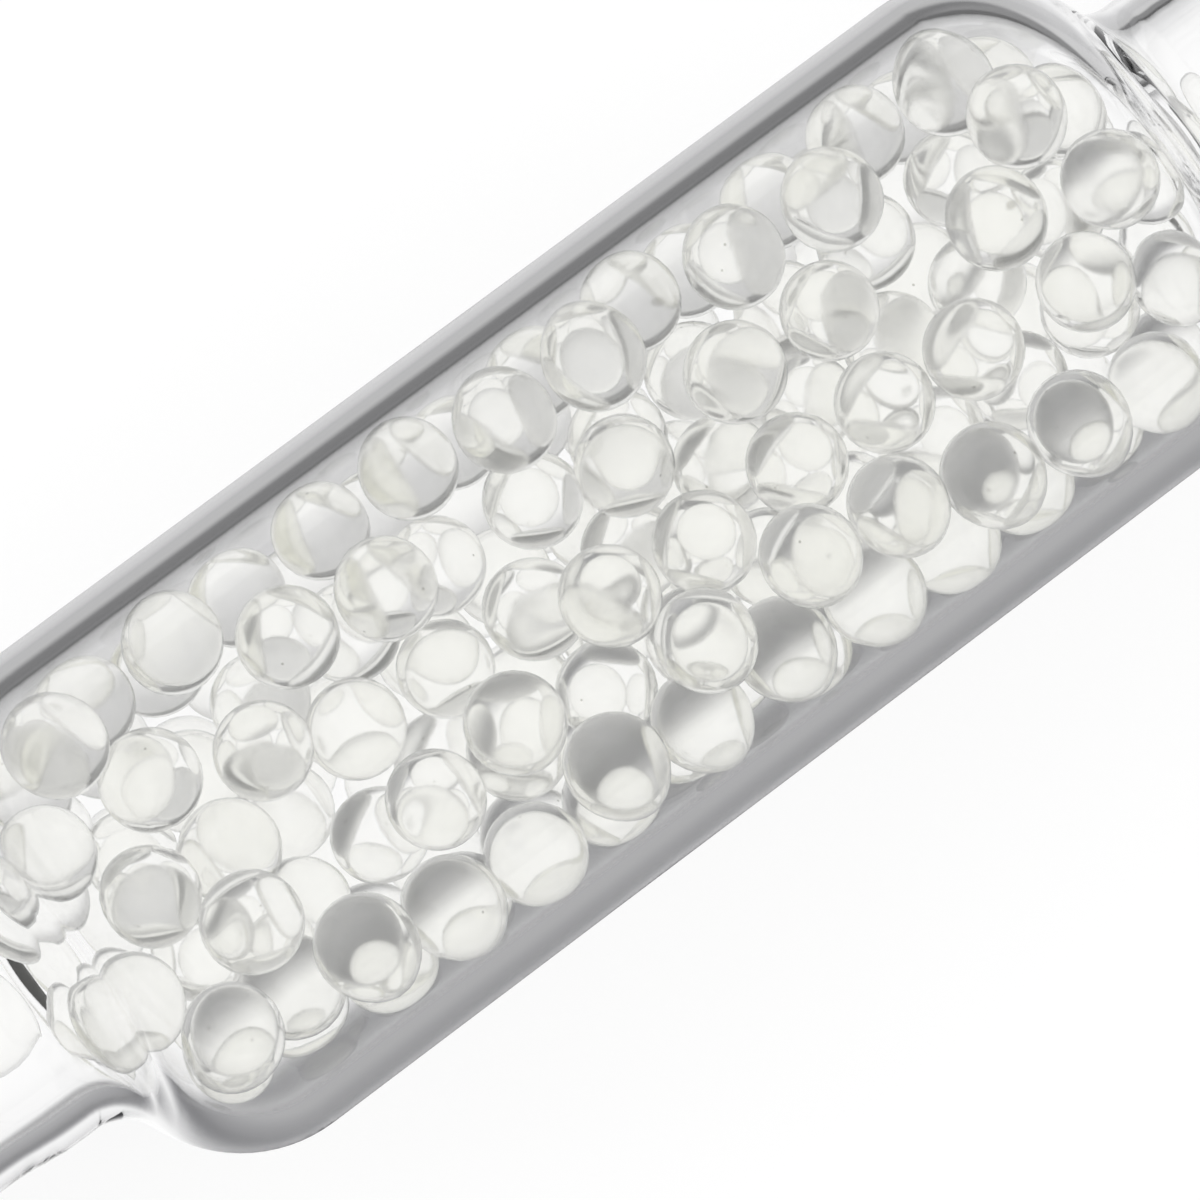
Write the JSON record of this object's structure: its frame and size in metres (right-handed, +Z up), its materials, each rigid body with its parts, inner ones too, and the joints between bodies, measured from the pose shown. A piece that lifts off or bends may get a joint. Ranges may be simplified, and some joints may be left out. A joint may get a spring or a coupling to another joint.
{
  "type": "rainstick",
  "caption": "Sealed clear glass rainstick: three wide chambers joined by narrow necks, part filled with solid glass beads that run from chamber to chamber when tipped",
  "frame": {"origin": "middle of the stick's bounding box, on the surface that the stick lies on", "axes": "+X along the stick towards the end that was sealed last, +Z up, +Y across"},
  "size_m": [0.3088, 0.032, 0.032],
  "materials": {
    "tube_glass": "clear drawn borosilicate tube, fire polished",
    "fused_glass": "clear glass fused in a flame, slightly rippled",
    "bead_glass": "clear soda-lime glass beads, faintly grey-green, with small seeds"
  },
  "bodies": {
    "vessel": {"middle_chamber": "tube_glass", "left_chamber": "tube_glass", "right_chamber": "tube_glass", "right_fill_seal": "fused_glass", "left_neck": "tube_glass", "left_inner_weld": "fused_glass", "left_outer_weld": "fused_glass", "right_neck": "tube_glass", "right_inner_weld": "fused_glass", "right_outer_weld": "fused_glass"},
    "middle_beads": {"middle_bed": "bead_glass"},
    "left_heap": {"left_bed": "bead_glass"},
    "right_heap": {"right_bed": "bead_glass"},
    "left_runner_1": {"left_runner_1": "bead_glass"},
    "left_runner_2": {"left_runner_2": "bead_glass"},
    "left_runner_3": {"left_runner_3": "bead_glass"},
    "left_neck_bead_1": {"left_neck_bead_1": "bead_glass"},
    "left_neck_bead_2": {"left_neck_bead_2": "bead_glass"},
    "left_neck_bead_3": {"left_neck_bead_3": "bead_glass"},
    "right_runner_1": {"right_runner_1": "bead_glass"},
    "right_runner_2": {"right_runner_2": "bead_glass"},
    "right_runner_3": {"right_runner_3": "bead_glass"},
    "right_neck_bead_1": {"right_neck_bead_1": "bead_glass"},
    "right_neck_bead_2": {"right_neck_bead_2": "bead_glass"},
    "right_neck_bead_3": {"right_neck_bead_3": "bead_glass"}
  },
  "joints": [
    {"name": "middle_beads_roll", "type": "hinge", "parent": "vessel", "child": "middle_beads", "pos_m": [0, 0, 0.016], "axis": [1, 0, 0], "continuous": true},
    {"name": "left_heap_slide", "type": "slide", "parent": "vessel", "child": "left_heap", "axis": [1, 0, 0], "range_m": [0, 0.01]},
    {"name": "right_heap_slide", "type": "slide", "parent": "vessel", "child": "right_heap", "axis": [-1, 0, 0], "range_m": [0, 0.015]},
    {"name": "left_runner_1_slide", "type": "slide", "parent": "left_heap", "child": "left_runner_1", "axis": [1, 0, 0], "range_m": [0, 0.01]},
    {"name": "left_runner_2_slide", "type": "slide", "parent": "left_heap", "child": "left_runner_2", "axis": [1, 0, 0], "range_m": [0, 0.01]},
    {"name": "left_runner_3_slide", "type": "slide", "parent": "left_heap", "child": "left_runner_3", "axis": [1, 0, 0], "range_m": [0, 0.01]},
    {"name": "left_neck_bead_1_slide", "type": "slide", "parent": "vessel", "child": "left_neck_bead_1", "axis": [-1, 0, 0], "range_m": [0, 0.03]},
    {"name": "left_neck_bead_2_slide", "type": "slide", "parent": "vessel", "child": "left_neck_bead_2", "axis": [-1, 0, 0], "range_m": [0, 0.03]},
    {"name": "left_neck_bead_3_slide", "type": "slide", "parent": "vessel", "child": "left_neck_bead_3", "axis": [-1, 0, 0], "range_m": [0, 0.03]},
    {"name": "right_runner_1_slide", "type": "slide", "parent": "right_heap", "child": "right_runner_1", "axis": [-1, 0, 0], "range_m": [0, 0.015]},
    {"name": "right_runner_2_slide", "type": "slide", "parent": "right_heap", "child": "right_runner_2", "axis": [-1, 0, 0], "range_m": [0, 0.015]},
    {"name": "right_runner_3_slide", "type": "slide", "parent": "right_heap", "child": "right_runner_3", "axis": [-1, 0, 0], "range_m": [0, 0.015]},
    {"name": "right_neck_bead_1_slide", "type": "slide", "parent": "vessel", "child": "right_neck_bead_1", "axis": [1, 0, 0], "range_m": [0, 0.03]},
    {"name": "right_neck_bead_2_slide", "type": "slide", "parent": "vessel", "child": "right_neck_bead_2", "axis": [1, 0, 0], "range_m": [0, 0.03]},
    {"name": "right_neck_bead_3_slide", "type": "slide", "parent": "vessel", "child": "right_neck_bead_3", "axis": [1, 0, 0], "range_m": [0, 0.03]}
  ],
  "couplings": [
    {"joint": "left_runner_1_slide", "follows": "left_heap_slide", "ratio": 1},
    {"joint": "left_runner_2_slide", "follows": "left_heap_slide", "ratio": 1},
    {"joint": "left_runner_3_slide", "follows": "left_heap_slide", "ratio": 1},
    {"joint": "left_neck_bead_2_slide", "follows": "left_neck_bead_1_slide", "ratio": 1},
    {"joint": "left_neck_bead_3_slide", "follows": "left_neck_bead_1_slide", "ratio": 1},
    {"joint": "right_runner_1_slide", "follows": "right_heap_slide", "ratio": 1},
    {"joint": "right_runner_2_slide", "follows": "right_heap_slide", "ratio": 1},
    {"joint": "right_runner_3_slide", "follows": "right_heap_slide", "ratio": 1},
    {"joint": "right_neck_bead_2_slide", "follows": "right_neck_bead_1_slide", "ratio": 1},
    {"joint": "right_neck_bead_3_slide", "follows": "right_neck_bead_1_slide", "ratio": 1}
  ]
}
